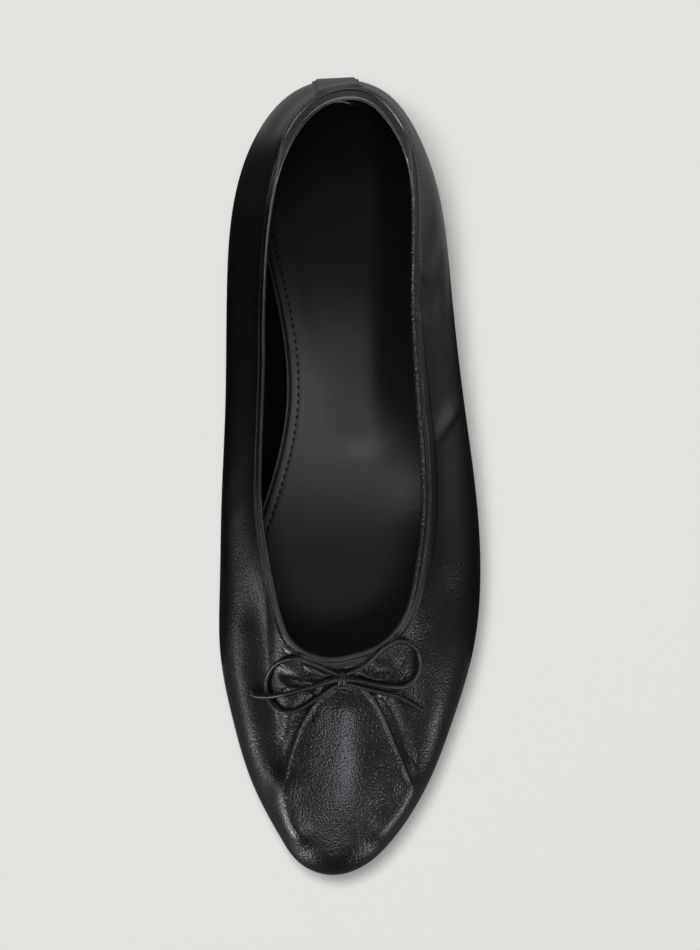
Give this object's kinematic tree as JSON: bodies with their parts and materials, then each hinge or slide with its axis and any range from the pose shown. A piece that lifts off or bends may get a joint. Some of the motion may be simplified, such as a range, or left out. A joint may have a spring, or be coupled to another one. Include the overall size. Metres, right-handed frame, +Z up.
{
  "type": "flat shoe",
  "caption": "Soft leather flat shoe for the left foot, low cut, with a bound topline, a thin cord bow on the vamp, a cushioned insole and a low heel.",
  "frame": {"origin": "on the floor, under the middle of the shoe's length and width", "axes": "+Z up, +Y from toe to heel, +X to the outer side of the foot"},
  "size_m": [0.0817, 0.25, 0.0619],
  "materials": {
    "outsole_rubber": "matt black rubber sheet",
    "heel_rubber": "matt black rubber",
    "upper_leather": "soft grained black leather, semi-matt",
    "insole_leather": "smooth black lining leather over a cushion",
    "binding_leather": "smooth black leather, folded and stitched",
    "strip_leather": "smooth black leather",
    "bow_cord": "thin round black cord, matt"
  },
  "bodies": {
    "root": {"outsole": "outsole_rubber", "heel": "heel_rubber", "upper": "upper_leather", "insole": "insole_leather", "topline_binding": "binding_leather", "back_strip": "strip_leather", "bow_knot": "bow_cord", "bow_loop_medial": "bow_cord", "bow_loop_lateral": "bow_cord", "bow_end_medial": "bow_cord", "bow_end_lateral": "bow_cord"}
  },
  "joints": []
}
